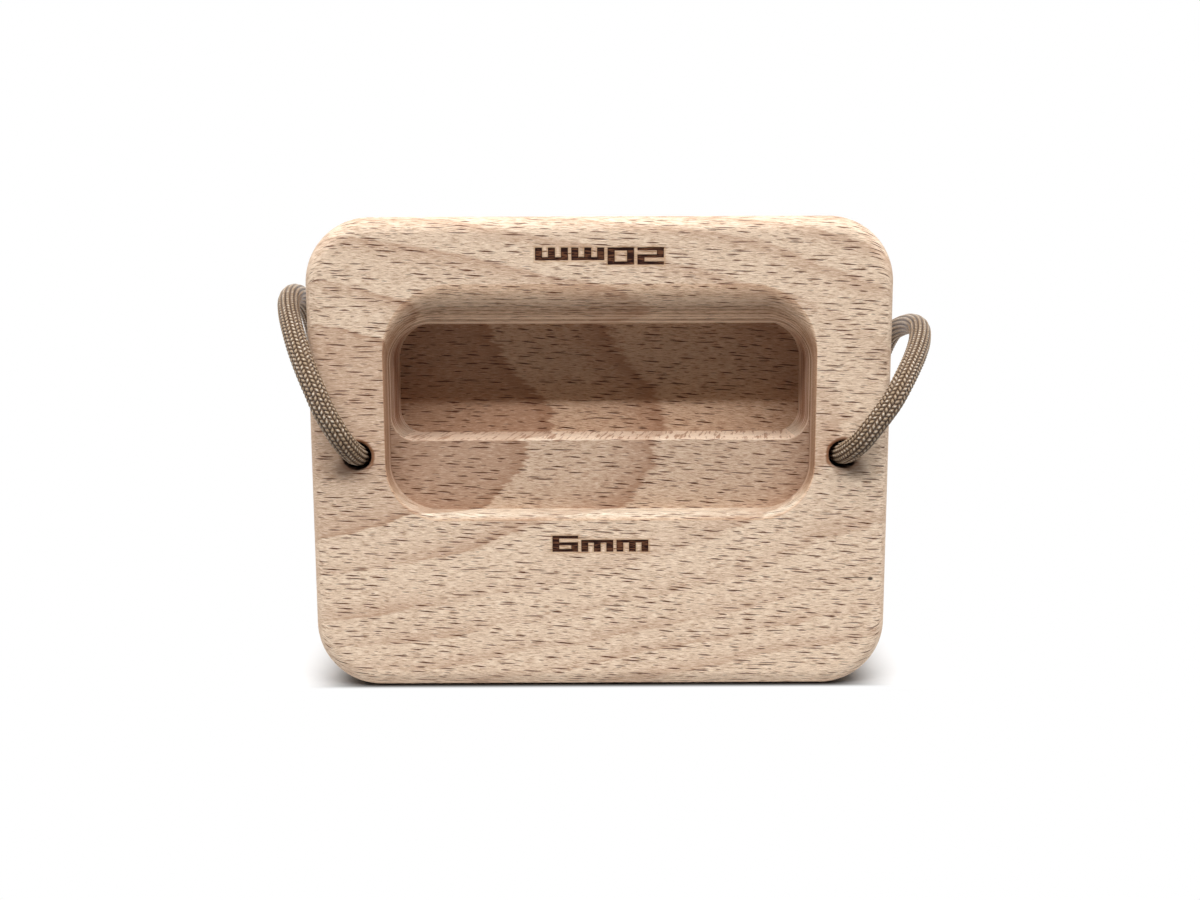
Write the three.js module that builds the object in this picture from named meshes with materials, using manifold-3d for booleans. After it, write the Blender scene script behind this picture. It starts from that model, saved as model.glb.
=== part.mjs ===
// A portable hangboard: a beech block with a stepped four-finger pocket, and the cord that it hangs on.
// Millimetres. X runs along the block, Y from its front to its back, Z up.
// The origin is the middle of the face that the block stands on.
import * as THREE from "three";
import { mergeVertices } from "three/addons/utils/BufferGeometryUtils.js";
import Module from "manifold-3d";

const wasm = await Module();
wasm.setup();

// Block
const blockWidth = 120;
const blockHeight = 98;
const blockThickness = 32;
const blockCornerRadius = 13.5;
const edgeRound = 3;

// Pocket: one milled opening, with a shallow edge at its sill and a deep edge at its ceiling.
// Heights are taken from the block's foot. The walls beside the pocket also carry the cord holes.
const sideWall = 16;
const pocketCeiling = 76.1;
const shallowSill = 37.3;
const deepSill = 52;
const shallowDepth = 6;
const deepDepth = 20;
const deepSideStep = 0.5;
const ceilingCorner = 8;
const shallowCorner = 10;
const deepCorner = 5;
const sillBreak = 0.35;

// The lip that runs round the opening is a large round on the deep edge, and dies out down the sides.
const ceilingLip = 8.3;
const sillLip = 1.5;
const sideLip = 0.3;
const mouthUpperCorner = 14;
const mouthLowerCorner = 11.5;

// Cord, and the air left round it
const cordDiameter = 4.3;
const meetingGap = 0.3;
const floorGap = 0.1;
const strandGap = 0.5;

// Cord holes, bored through the side walls, each with play round the cord
const holeInset = 10;
const holeHeight = 49.4;
const holePlay = 1.5;
const holeChamfer = 0.6;

// Coil, which lies on the floor behind the block
const coilMiddleDiameter = 47.3;
const coilSetback = 37;
const coilTurnsEachWay = 2.25;

// Stopper knot behind each hole
const knotRingRadius = 5.2;
const knotDrop = 12.4;
const knotInset = 2;
const knotFirstTurn = 0.3;
const knotLastTurn = (11 * Math.PI) / 6;
// The cord's way from the hole's back mouth down into the knot: shares of the inset, of the weave
// and of the drop
const knotEntryShares = [
  [0, 0.18, 0.03],
  [0.15, 1.35, 0.16],
  [0.5, 1.95, 0.42],
  [0.95, 2, 0.7],
  [1, 2, 1],
];
// The tail's way out of the knot and down: shares of the cord's diameter, outwards and up
const knotTailShares = [
  [0.1, 1.05],
  [0.8, 0.65],
  [1.2, -0.1],
  [1.3, -1.2],
  [1.2, -2.4],
  [1.1, -3.5],
];

// Counts
const cornerSteps = 9;
const lipSteps = 6;
const holeSides = 32;
const leadSides = 10;
const leadSteps = 38;
const coilSides = 6;
const coilStepsPerTurn = 24;
const knotSides = 8;
const knotSteps = 84;
const knotFormulaPoints = 22;

// One overrun serves every cut. Points closer than samePlace are one point.
const overrun = 1;
const samePlace = 1e-4;

// Places that follow from the sizes above
const halfThickness = blockThickness / 2;
const halfPocket = blockWidth / 2 - sideWall;
const halfHoles = blockWidth / 2 - holeInset;
const holeDiameter = cordDiameter + holePlay;
const cordRadius = cordDiameter / 2;
const strandPitch = cordDiameter + strandGap;
const floorLayer = cordRadius + floorGap;
const upperLayer = floorLayer + strandPitch;
const coilCentreY = halfThickness + coilSetback;
const coilOuterRadius = coilMiddleDiameter / 2 + (strandPitch * coilTurnsEachWay) / 2;
const coilEndY = coilCentreY - cordDiameter;
const leadEndY = coilEndY - meetingGap;
const leadStartY = cordDiameter - halfThickness;
const leadBendY = leadStartY - cordRadius / 2;

// The position attribute alone, with its shared vertices merged, as a manifold solid.
function solidOf(geometry) {
  const bare = new THREE.BufferGeometry();
  bare.setAttribute("position", geometry.getAttribute("position").clone());
  if (geometry.index) bare.setIndex(geometry.index.clone());
  const merged = mergeVertices(bare, samePlace);
  return new wasm.Manifold(
    new wasm.Mesh({
      numProp: 3,
      vertProperties: new Float32Array(merged.attributes.position.array),
      triVerts: new Uint32Array(merged.index.array),
    }),
  );
}

function geometryOf(solid) {
  const mesh = solid.getMesh();
  const geometry = new THREE.BufferGeometry();
  geometry.setAttribute("position", new THREE.BufferAttribute(mesh.vertProperties, 3));
  geometry.setIndex(new THREE.BufferAttribute(mesh.triVerts, 1));
  geometry.computeVertexNormals();
  return geometry;
}

// A closed solid through rings of like count. Each ring turns anticlockwise as seen from the front,
// and the rings follow each other from front to back. A face whose corners fall together is left out.
function loft(rings) {
  const count = rings[0].length;
  const points = rings.flat();
  const faces = [];
  const at = (ring, i) => ring * count + (i % count);
  const same = (a, b) => points[a].distanceTo(points[b]) < samePlace;
  const face = (a, b, c) => {
    if (!same(a, b) && !same(b, c) && !same(c, a)) faces.push(a, b, c);
  };
  for (let ring = 0; ring + 1 < rings.length; ring++) {
    for (let i = 0; i < count; i++) {
      face(at(ring, i), at(ring + 1, i), at(ring + 1, i + 1));
      face(at(ring, i), at(ring + 1, i + 1), at(ring, i + 1));
    }
  }
  const middle = (ring) =>
    ring.reduce((sum, point) => sum.add(point), new THREE.Vector3()).divideScalar(count);
  const front = points.push(middle(rings[0])) - 1;
  const back = points.push(middle(rings.at(-1))) - 1;
  for (let i = 0; i < count; i++) {
    face(front, at(0, i), at(0, i + 1));
    face(back, at(rings.length - 1, i + 1), at(rings.length - 1, i));
  }
  return new THREE.BufferGeometry().setFromPoints(points).setIndex(faces);
}

// A rounded rectangle in the plane of the block's face, as points [x, z]. Its corners are quarter
// ellipses: the upper ones reach cornerAcross along X and cornerUp along Z.
function outline({ half, sill, ceiling, cornerAcross, cornerUp, lowerCorner }) {
  const corners = [
    [half - lowerCorner, sill + lowerCorner, lowerCorner, lowerCorner, -Math.PI / 2],
    [half - cornerAcross, ceiling - cornerUp, cornerAcross, cornerUp, 0],
    [cornerAcross - half, ceiling - cornerUp, cornerAcross, cornerUp, Math.PI / 2],
    [lowerCorner - half, sill + lowerCorner, lowerCorner, lowerCorner, Math.PI],
  ];
  return corners.flatMap(([x, z, across, up, start]) =>
    Array.from({ length: cornerSteps + 1 }, (_, step) => {
      const angle = start + ((Math.PI / 2) * step) / cornerSteps;
      return [x + across * Math.cos(angle), z + up * Math.sin(angle)];
    }),
  );
}

// The pocket as one cutter. From the mouth, a lip whose radius is at each point the distance between
// the mouth's outline and the wall's leads down to the wall. At the shallow depth the floor steps in
// to the deep part's outline, whose edge is broken, and the deep part runs on to its floor.
function pocketCutter() {
  const mouth = outline({
    half: halfPocket + sideLip,
    sill: shallowSill - sillLip,
    ceiling: pocketCeiling + ceilingLip,
    cornerAcross: mouthUpperCorner,
    cornerUp: mouthUpperCorner,
    lowerCorner: mouthLowerCorner,
  });
  const wall = outline({
    half: halfPocket,
    sill: shallowSill,
    ceiling: pocketCeiling,
    cornerAcross: ceilingCorner,
    cornerUp: ceilingCorner,
    lowerCorner: shallowCorner,
  });
  const deepOutline = (grow) =>
    outline({
      half: halfPocket - deepSideStep + grow,
      sill: deepSill - grow,
      ceiling: pocketCeiling,
      cornerAcross: ceilingCorner - deepSideStep + grow,
      cornerUp: ceilingCorner,
      lowerCorner: deepCorner + grow,
    });
  const deepEdge = deepOutline(sillBreak);
  const deepWall = deepOutline(0);
  const lipRadius = mouth.map(([x, z], i) => Math.hypot(x - wall[i][0], z - wall[i][1]));
  const stepDepth = lipRadius.map((radius) => Math.max(radius, shallowDepth));
  const ring = (shape, depth) =>
    shape.map(([x, z], i) => new THREE.Vector3(x, depth(i) - halfThickness, z));
  const lipRings = Array.from({ length: lipSteps + 1 }, (_, step) => {
    const angle = ((Math.PI / 2) * step) / lipSteps;
    const out = 1 - Math.sin(angle);
    const shape = wall.map(([x, z], i) => [
      x + (mouth[i][0] - x) * out,
      z + (mouth[i][1] - z) * out,
    ]);
    return ring(shape, (i) => lipRadius[i] * (1 - Math.cos(angle)));
  });
  return loft([
    ring(mouth, () => -overrun),
    ...lipRings,
    ring(wall, (i) => stepDepth[i]),
    ring(deepEdge, (i) => stepDepth[i]),
    ring(deepWall, (i) => stepDepth[i] + sillBreak),
    ring(deepWall, () => deepDepth),
  ]);
}

// A cord hole with a chamfer at each mouth, on the lathe's own axis, which is Y.
function holeCutter(x) {
  const radius = holeDiameter / 2;
  const flare = radius + holeChamfer + overrun;
  const end = halfThickness + overrun;
  const shoulder = halfThickness - holeChamfer;
  const profile = [
    [0, -end],
    [flare, -end],
    [radius, -shoulder],
    [radius, shoulder],
    [flare, end],
    [0, end],
  ].map(([r, y]) => new THREE.Vector2(r, y));
  return new THREE.LatheGeometry(profile, holeSides).translate(x, 0, holeHeight);
}

// The board's outline with its round corners, its front and back edges rounded over.
function blockBody() {
  const half = blockWidth / 2;
  const inX = half - blockCornerRadius;
  const inZ = blockHeight - blockCornerRadius;
  const shape = new THREE.Shape();
  shape.absarc(inX, blockCornerRadius, blockCornerRadius, -Math.PI / 2, 0);
  shape.absarc(inX, inZ, blockCornerRadius, 0, Math.PI / 2);
  shape.absarc(-inX, inZ, blockCornerRadius, Math.PI / 2, Math.PI);
  shape.absarc(-inX, blockCornerRadius, blockCornerRadius, Math.PI, Math.PI * 1.5);
  return new THREE.ExtrudeGeometry(shape, {
    depth: blockThickness - 2 * edgeRound,
    bevelThickness: edgeRound,
    bevelSize: edgeRound,
    bevelOffset: -edgeRound,
    bevelSegments: lipSteps,
    curveSegments: cornerSteps,
  })
    .rotateX(Math.PI / 2)
    .translate(0, halfThickness - edgeRound, 0);
}

function blockGeometry() {
  return geometryOf(
    solidOf(blockBody())
      .subtract(solidOf(pocketCutter()))
      .subtract(solidOf(holeCutter(-halfHoles)))
      .subtract(solidOf(holeCutter(halfHoles))),
  );
}

// A round section with the given number of sides.
function cordSection(sides) {
  const points = Array.from({ length: sides }, (_, side) => {
    const angle = (2 * Math.PI * side) / sides;
    return new THREE.Vector2(cordRadius * Math.cos(angle), cordRadius * Math.sin(angle));
  });
  return new THREE.Shape(points);
}

// A stretch of cord on a smooth curve through the given places.
function cordThrough(places, sides, steps) {
  const curve = new THREE.CatmullRomCurve3(places.map((place) => new THREE.Vector3(...place)));
  curve.arcLengthDivisions = 40 * places.length;
  return new THREE.ExtrudeGeometry(cordSection(sides), { extrudePath: curve, steps });
}

// The left lead: straight out of the hole, up past the corner of the block, back over its side,
// down behind it to the floor and along the floor to the coil.
const leftRoute = [
  [-halfHoles, leadStartY, holeHeight],
  [-halfHoles, leadBendY, holeHeight],
  [-50.3, -16.1, 49.95],
  [-51.0, -18.7, 51.35],
  [-52.05, -20.6, 53.45],
  [-53.4, -21.65, 56.2],
  [-55.2, -21.9, 59.6],
  [-56.9, -21.4, 63.5],
  [-58.8, -20.0, 67.4],
  [-60.7, -17.7, 71.3],
  [-62.6, -14.2, 75.2],
  [-64.5, -9.2, 78.7],
  [-65.8, -3.6, 81.1],
  [-66.5, 3.0, 82.3],
  [-66.8, 9.5, 82.1],
  [-66.9, 15.2, 80.6],
  [-66.8, 19.8, 77.5],
  [-66.5, 23.2, 72.4],
  [-66.0, 24.9, 65.0],
  [-65.2, 25.0, 56.0],
  [-64.2, 24.2, 46.5],
  [-63.2, 23.2, 37.0],
  [-62.2, 22.6, 28.0],
  [-60.6, 22.7, 19.4],
  [-57.8, 23.3, 11.6],
  [-53.2, 24.7, 5.9],
  [-47.4, 27.0, 3.2],
  [-41.6, 29.9, floorLayer],
  [-36.4, 33.4, floorLayer],
  [-32.4, 37.3, floorLayer],
  [-30.0, 41.7, floorLayer],
  [-coilOuterRadius, leadEndY - cordRadius, floorLayer],
  [-coilOuterRadius, leadEndY, floorLayer],
];

// The right lead leans further out and lower, and climbs from the floor to the coil's upper layer.
const rightRoute = [
  [halfHoles, leadStartY, holeHeight],
  [halfHoles, leadBendY, holeHeight],
  [50.4, -16.05, 49.85],
  [51.4, -18.7, 51.1],
  [52.85, -20.6, 52.95],
  [54.5, -21.7, 55.5],
  [56.4, -22.0, 58.2],
  [58.5, -21.6, 61.1],
  [60.5, -20.2, 64.1],
  [62.5, -17.7, 66.8],
  [64.8, -13.8, 69.7],
  [67.0, -8.4, 72.4],
  [68.5, -2.4, 74.3],
  [69.2, 3.4, 75.2],
  [69.3, 9.5, 75.3],
  [68.9, 15.6, 74.5],
  [68.3, 20.8, 73.0],
  [67.4, 25.3, 68.9],
  [66.4, 28.1, 62.4],
  [65.5, 29.1, 54.2],
  [64.6, 28.3, 45.4],
  [63.7, 26.8, 36.2],
  [62.6, 25.6, 27.2],
  [60.7, 25.1, 18.6],
  [57.3, 25.5, 11.2],
  [52.2, 26.8, 6.0],
  [46.2, 29.1, 3.6],
  [40.4, 32.1, 3.6],
  [35.4, 35.3, 4.9],
  [31.8, 38.6, 6.3],
  [29.8, 42.3, 7.0],
  [coilOuterRadius, leadEndY - cordRadius, upperLayer],
  [coilOuterRadius, leadEndY, upperLayer],
];

// The coil's middle line. It starts at the left on the floor, spirals in, climbs to the upper layer
// in the half turn where the spiral reverses, and spirals out again to the right.
const coilAngle = 4 * Math.PI * coilTurnsEachWay;
function coilPoint(angle) {
  const wound = Math.min(angle, coilAngle - angle);
  const radius = coilOuterRadius - (strandPitch * wound) / (2 * Math.PI);
  const share = Math.min(Math.max((angle - coilAngle / 2) / Math.PI + 0.5, 0), 1);
  const climb = share * share * (3 - 2 * share);
  return new THREE.Vector3(
    -radius * Math.cos(angle),
    coilCentreY + radius * Math.sin(angle),
    floorLayer + strandPitch * climb,
  );
}

// The middle line as points, with an end that runs straight for one diameter at each side.
function coilLine(stepsPerTurn) {
  const steps = Math.round((coilAngle / (2 * Math.PI)) * stepsPerTurn);
  const turns = Array.from({ length: steps + 1 }, (_, step) =>
    coilPoint((coilAngle * step) / steps),
  );
  return [
    new THREE.Vector3(-coilOuterRadius, coilEndY, floorLayer),
    ...turns,
    new THREE.Vector3(coilOuterRadius, coilEndY, upperLayer),
  ];
}

// One unbroken tube along the coil. Each ring stands square to the middle line, one of its axes
// level, so the tube never twists.
function coilGeometry() {
  const line = coilLine(coilStepsPerTurn);
  const points = [];
  const faces = [];
  line.forEach((centre, step) => {
    const before = line[Math.max(step - 1, 0)];
    const after = line[Math.min(step + 1, line.length - 1)];
    const along = after.clone().sub(before).normalize();
    const level = new THREE.Vector3(along.y, -along.x, 0).normalize();
    const up = level.clone().cross(along);
    for (let side = 0; side < coilSides; side++) {
      const angle = (2 * Math.PI * side) / coilSides;
      points.push(
        centre
          .clone()
          .addScaledVector(level, cordRadius * Math.cos(angle))
          .addScaledVector(up, cordRadius * Math.sin(angle)),
      );
    }
  });
  const at = (step, side) => step * coilSides + (side % coilSides);
  for (let step = 0; step + 1 < line.length; step++) {
    for (let side = 0; side < coilSides; side++) {
      faces.push(at(step, side), at(step + 1, side + 1), at(step, side + 1));
      faces.push(at(step, side), at(step + 1, side), at(step + 1, side + 1));
    }
  }
  const first = points.push(line[0]) - 1;
  const last = points.push(line.at(-1)) - 1;
  for (let side = 0; side < coilSides; side++) {
    faces.push(first, at(0, side), at(0, side + 1));
    faces.push(last, at(line.length - 1, side + 1), at(line.length - 1, side));
  }
  return new THREE.BufferGeometry().setFromPoints(points).setIndex(faces);
}

// The least air between two turns, measured between points of the middle line over a third of a turn apart.
function leastCoilGap() {
  const stepsPerTurn = 4 * coilStepsPerTurn;
  const line = coilLine(stepsPerTurn);
  let least = Infinity;
  line.forEach((point, step) => {
    for (let other = step + Math.round(stepsPerTurn / 3); other < line.length; other++) {
      least = Math.min(least, point.distanceTo(line[other]));
    }
  });
  return least - cordDiameter;
}

// The stretch of cord in a hole, and the overhand knot that stops it behind the block. The knot's
// middle line goes twice round a ring while it weaves three times in and out, and front to back.
// side is -1 at the left and 1 at the right.
function knotGeometry(side) {
  const weave = strandPitch / 2;
  const back = halfThickness + meetingGap + cordRadius;
  const middleY = back + weave;
  const lineX = halfHoles - knotInset;
  const ringX = lineX - knotRingRadius - weave;
  const ringZ = holeHeight - knotDrop;
  const place = (out, y, z) => [side * out, y, z];
  const bore = [leadStartY + meetingGap, 0, halfThickness].map((y) =>
    place(halfHoles, y, holeHeight),
  );
  const entry = knotEntryShares.map(([inward, backward, down]) =>
    place(halfHoles - knotInset * inward, back + weave * backward, holeHeight - knotDrop * down),
  );
  const ring = Array.from({ length: knotFormulaPoints + 1 }, (_, i) => {
    const turn = knotFirstTurn + ((knotLastTurn - knotFirstTurn) * i) / knotFormulaPoints;
    const radius = knotRingRadius + weave * Math.cos(3 * turn);
    const layer = turn < Math.PI / 6 ? 1 : Math.sin(3 * turn);
    return place(
      ringX + radius * Math.cos(2 * turn),
      middleY + weave * layer,
      ringZ - radius * Math.sin(2 * turn),
    );
  });
  const tail = knotTailShares.map(([out, up]) =>
    place(lineX + cordDiameter * out, back, ringZ + cordDiameter * up),
  );
  return cordThrough([...bore, ...entry, ...ring, ...tail], knotSides, knotSteps);
}

const beech = new THREE.MeshStandardMaterial({ color: 0xd8bc9c, roughness: 0.62, metalness: 0 });
const sheath = new THREE.MeshStandardMaterial({ color: 0xa88f6c, roughness: 0.5, metalness: 0 });

const hangboard = new THREE.Group();
hangboard.name = "hangboard";
const cord = new THREE.Group();
cord.name = "cord";
hangboard.add(cord);

function add(group, name, geometry, material) {
  const mesh = new THREE.Mesh(geometry, material);
  mesh.name = name;
  group.add(mesh);
}

add(hangboard, "block", blockGeometry(), beech);
add(cord, "cord_left_stopper_knot", knotGeometry(-1), sheath);
add(cord, "cord_left_lead", cordThrough(leftRoute, leadSides, leadSteps), sheath);
add(cord, "cord_coil", coilGeometry(), sheath);
add(cord, "cord_right_lead", cordThrough(rightRoute, leadSides, leadSteps), sheath);
add(cord, "cord_right_stopper_knot", knotGeometry(1), sheath);

console.log("least gap between the coil's turns: " + leastCoilGap().toFixed(3) + " mm");

export default hangboard;
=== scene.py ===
"""The looks of a portable hangboard: a beech block with a stepped finger pocket, and the braided cord
that it hangs on. Metres. X runs along the block, Y from its front to its back, Z up."""
import math

import bmesh
import bpy
import numpy as np
from mathutils import Matrix, Vector
from mathutils.geometry import delaunay_2d_cdt


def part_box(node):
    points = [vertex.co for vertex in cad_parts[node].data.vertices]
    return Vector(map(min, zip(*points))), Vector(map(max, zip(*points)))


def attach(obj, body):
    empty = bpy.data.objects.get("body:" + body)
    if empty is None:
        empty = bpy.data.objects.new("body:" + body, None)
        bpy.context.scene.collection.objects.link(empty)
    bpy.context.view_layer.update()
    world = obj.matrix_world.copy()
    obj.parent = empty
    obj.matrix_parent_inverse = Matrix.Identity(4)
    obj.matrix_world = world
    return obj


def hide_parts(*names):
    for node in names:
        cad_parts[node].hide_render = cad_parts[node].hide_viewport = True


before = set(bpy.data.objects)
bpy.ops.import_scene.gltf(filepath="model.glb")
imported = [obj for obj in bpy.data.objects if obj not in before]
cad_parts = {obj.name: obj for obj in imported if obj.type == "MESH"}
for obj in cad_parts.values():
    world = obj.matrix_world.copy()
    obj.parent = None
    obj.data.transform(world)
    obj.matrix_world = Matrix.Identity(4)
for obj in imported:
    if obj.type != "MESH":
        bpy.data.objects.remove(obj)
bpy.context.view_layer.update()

# Block, the round of its edges, and how many steps a corner and a round take
(_, FRONT, FOOT), (RIGHT, BACK, HEAD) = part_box("block")
CORNER_RADIUS = 0.0135
EDGE_ROUND = 0.0036
CORNER_STEPS = 24
ROUND_STEPS = 8
SHARP_ANGLE = math.radians(38)

# Pocket: heights from the block's foot, depths from its front
HALF_POCKET = 0.044
CEILING = 0.0761
SHALLOW_SILL = 0.0373
DEEP_SILL = 0.052
SHALLOW_DEPTH = 0.006
DEEP_DEPTH = 0.020
DEEP_SIDE_STEP = 0.0001
CEILING_CORNER = 0.008
SHALLOW_CORNER = 0.010
DEEP_CORNER = 0.005
SILL_BREAK = 0.0002
CEILING_LIP = 0.0083
SILL_LIP = 0.0015
SIDE_LIP = 0.0003
MOUTH_UPPER_CORNER = 0.014
MOUTH_LOWER_CORNER = 0.0115
LIP_STEPS = 14

# Cord holes
HOLE_X = 0.050
HOLE_Z = 0.0494
HOLE_RADIUS = 0.0029
HOLE_ROUND = 0.0006
HOLE_STEPS = 64
HOLE_ROUND_STEPS = 5

# Burned depth marks: strokes of plain block figures
STEM = 0.0014
BAR = 0.0006
FIGURE_WIDTH = 0.0053
FIGURE_HEIGHT = 0.0034
LETTER_WIDTH = 0.0066
LETTER_HEIGHT = 0.0025
MARK_GAP = 0.0007
MARK_DEPTH = 0.00018
MARK_MARGIN = 0.001
MARK_GRID = 0.0001
BURN_AT_EDGE = 0.6
DEEP_MARK_BASE = 0.0916
SHALLOW_MARK_BASE = 0.0292

# How a face is sorted by its normal: level with the front, a ledge, and the stretches over which a turn
# upwards makes a wall a sill and a turn to a side makes it end grain
LEVEL_FACING = 0.9995
LEDGE_FACING = 0.9
SILL_TURN = (0.15, 0.85)
END_TURN = (0.55, 0.90)

# Points nearer than this are one point, in a mesh and in a flat face
MERGE_REACH = 1e-7
FLAT_REACH = 1e-9

# Cord
CORD_DIAMETER = 0.0043
CORD_RADIUS = CORD_DIAMETER / 2
MEETING_GAP = 0.0003
STRAND_PITCH = 0.0048
FLOOR_LAYER = 0.00225
COIL_CENTRE_Y = 0.053
COIL_RADIUS = 0.02905
COIL_TURNS_EACH_WAY = 2.25
COIL_STEPS_PER_TURN = 240
CURVE_STEPS = 40
CORD_SIDES = 56
FINE_STEP = 0.0002
COARSE_STEP = 0.0012
KNOT_STEP = 0.0003
SEEN_LENGTH = 0.085

# The sheath's braid: rows of floats along the cord, each half a float on from the next and leaning the
# other way. Where the cord turns back behind the block, the rows are drawn smooth.
FIRST_SPOKE = (1, 0.001, 0.001)
BRAID_ROWS = 14
BRAID_PITCH = 0.00092
BRAID_RELIEF = 0.00028
BRAID_LEAN = 0.5
BRAID_TIGHT_SHARE = 0.5
BRAID_TIGHT_LENGTH = 0.014
BRAID_DRAWN_SHARE = 0.8
BRAID_DRAWN_REACH = 0.008

# Knot. Up to its first crest the cord stays at its back.
KNOT_RING_RADIUS = 0.0052
KNOT_DROP = 0.0124
KNOT_INSET = 0.002
KNOT_FIRST_TURN = 0.3
KNOT_FIRST_CREST = math.pi / 6
KNOT_LAST_TURN = 11 * math.pi / 6
KNOT_POINTS = 22
KNOT_ENTRY_SHARES = np.array([
    (0, 0.18, 0.03), (0.15, 1.35, 0.16), (0.5, 1.95, 0.42), (0.95, 2, 0.7), (1, 2, 1),
])
KNOT_TAIL_SHARES = np.array([(0.1, 1.05), (0.8, 0.65), (1.2, -0.1), (1.3, -1.2), (1.2, -2.4), (1.1, -3.5)])

# The leads' routes, from the holes to the coil
LEFT_ROUTE = np.array([
    (-0.05, -0.0117, 0.0494), (-0.05, -0.012775, 0.0494), (-0.0503, -0.0161, 0.04995),
    (-0.051, -0.0187, 0.05135), (-0.05205, -0.0206, 0.05345), (-0.0534, -0.02165, 0.0562),
    (-0.0552, -0.0219, 0.0596), (-0.0569, -0.0214, 0.0635), (-0.0588, -0.02, 0.0674),
    (-0.0607, -0.0177, 0.0713), (-0.0626, -0.0142, 0.0752), (-0.0645, -0.0092, 0.0787),
    (-0.0658, -0.0036, 0.0811), (-0.0665, 0.003, 0.0823), (-0.0668, 0.0095, 0.0821),
    (-0.0669, 0.0152, 0.0806), (-0.0668, 0.0198, 0.0775), (-0.0665, 0.0232, 0.0724),
    (-0.066, 0.0249, 0.065), (-0.0652, 0.025, 0.056), (-0.0642, 0.0242, 0.0465),
    (-0.0632, 0.0232, 0.037), (-0.0622, 0.0226, 0.028), (-0.0606, 0.0227, 0.0194),
    (-0.0578, 0.0233, 0.0116), (-0.0532, 0.0247, 0.0059), (-0.0474, 0.027, 0.0032),
    (-0.0416, 0.0299, 0.00225), (-0.0364, 0.0334, 0.00225), (-0.0324, 0.0373, 0.00225),
    (-0.03, 0.0417, 0.00225), (-0.02905, 0.04625, 0.00225), (-0.02905, 0.0484, 0.00225),
])
RIGHT_ROUTE = np.array([
    (0.05, -0.0117, 0.0494), (0.05, -0.012775, 0.0494), (0.0504, -0.01605, 0.04985),
    (0.0514, -0.0187, 0.0511), (0.05285, -0.0206, 0.05295), (0.0545, -0.0217, 0.0555),
    (0.0564, -0.022, 0.0582), (0.0585, -0.0216, 0.0611), (0.0605, -0.0202, 0.0641),
    (0.0625, -0.0177, 0.0668), (0.0648, -0.0138, 0.0697), (0.067, -0.0084, 0.0724),
    (0.0685, -0.0024, 0.0743), (0.0692, 0.0034, 0.0752), (0.0693, 0.0095, 0.0753),
    (0.0689, 0.0156, 0.0745), (0.0683, 0.0208, 0.073), (0.0674, 0.0253, 0.0689),
    (0.0664, 0.0281, 0.0624), (0.0655, 0.0291, 0.0542), (0.0646, 0.0283, 0.0454),
    (0.0637, 0.0268, 0.0362), (0.0626, 0.0256, 0.0272), (0.0607, 0.0251, 0.0186),
    (0.0573, 0.0255, 0.0112), (0.0522, 0.0268, 0.006), (0.0462, 0.0291, 0.0036),
    (0.0404, 0.0321, 0.0036), (0.0354, 0.0353, 0.0049), (0.0318, 0.0386, 0.0063),
    (0.0298, 0.0423, 0.007), (0.02905, 0.04625, 0.00705), (0.02905, 0.0484, 0.00705),
])

# Camera, at the photograph's place and angle
CAMERA_PLACE = Vector((-0.000683, -0.2625, 0.08476))
CAMERA_YAW = math.radians(-0.154)
CAMERA_PITCH = math.radians(7.893)
CAMERA_ROLL = math.radians(-0.189)
SENSOR_WIDTH = 36
LENS = 36.331
NEAREST_SEEN = 0.01

# Light: a long narrow strip over the front, a softbox above it, and a pale room that is dimmest in front
LAMPS_AIM = Vector((0.0, -0.016, 0.062))
LAMPS_DISTANCE = 0.8
STRIP_RISE = math.radians(50.5)
STRIP_SIZE = (1.12, 0.032)
STRIP_POWER = 6.0
SOFTBOX_RISE = math.radians(66)
SOFTBOX_SIZE = (1.12, 0.384)
SOFTBOX_POWER = 5.8
ROOM_FRONT = 0.0
ROOM_SIDES = 0.9
ROOM_TURN = (-0.62, -0.16)

# Floor: the share of the light that it throws back, from beside the block to far ahead of it, and the
# stretches ahead of the block's middle in which it changes
FLOOR_REACH = 4
FLOOR_BOUNCE = 0.9
NEAR_BOUNCE = 0.3
MIDDLE_BOUNCE = 0.5
FAR_BOUNCE = 0.03
NEAR_START = (0.012, 0.022)
MIDDLE_START = (0.03, 0.05)
FAR_START = (0.08, 0.10)

# Floor's shade: where it fades to white round the block's foot and ahead of the block's middle, and the
# painted shade in
#  the floor's own colour: how dark it is at the foot and how far out it lightens
FOOT_HALF_LENGTH = RIGHT - CORNER_RADIUS
FOOT_HALF_WIDTH = BACK - EDGE_ROUND
SHADE_FADE = (0.006, 0.030)
PAINTED_FOOT_SHADE_LEVEL = 0.1
PAINTED_FOOT_SHADE_SPREAD = 0.028
SHADE_FRONT = (0.0145, 0.0166)


def add_camera():
    """The camera looks along (-sin yaw cos pitch, cos yaw cos pitch, -sin pitch), rolled about that line."""
    yaw, pitch, roll = CAMERA_YAW, CAMERA_PITCH, CAMERA_ROLL
    ahead = Vector((-math.sin(yaw) * math.cos(pitch), math.cos(yaw) * math.cos(pitch), -math.sin(pitch)))
    level = Vector((math.cos(yaw), math.sin(yaw), 0))
    upright = level.cross(ahead)
    right = math.cos(roll) * level + math.sin(roll) * upright
    up = math.cos(roll) * upright - math.sin(roll) * level
    lens = bpy.data.cameras.new("camera")
    lens.sensor_fit = "HORIZONTAL"
    lens.sensor_width = SENSOR_WIDTH
    lens.lens = LENS
    lens.clip_start = NEAREST_SEEN
    camera = bpy.data.objects.new("camera", lens)
    camera.matrix_world = Matrix((right, up, -ahead)).transposed().to_4x4()
    camera.location = CAMERA_PLACE
    bpy.context.scene.collection.objects.link(camera)
    bpy.context.scene.camera = camera


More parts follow.
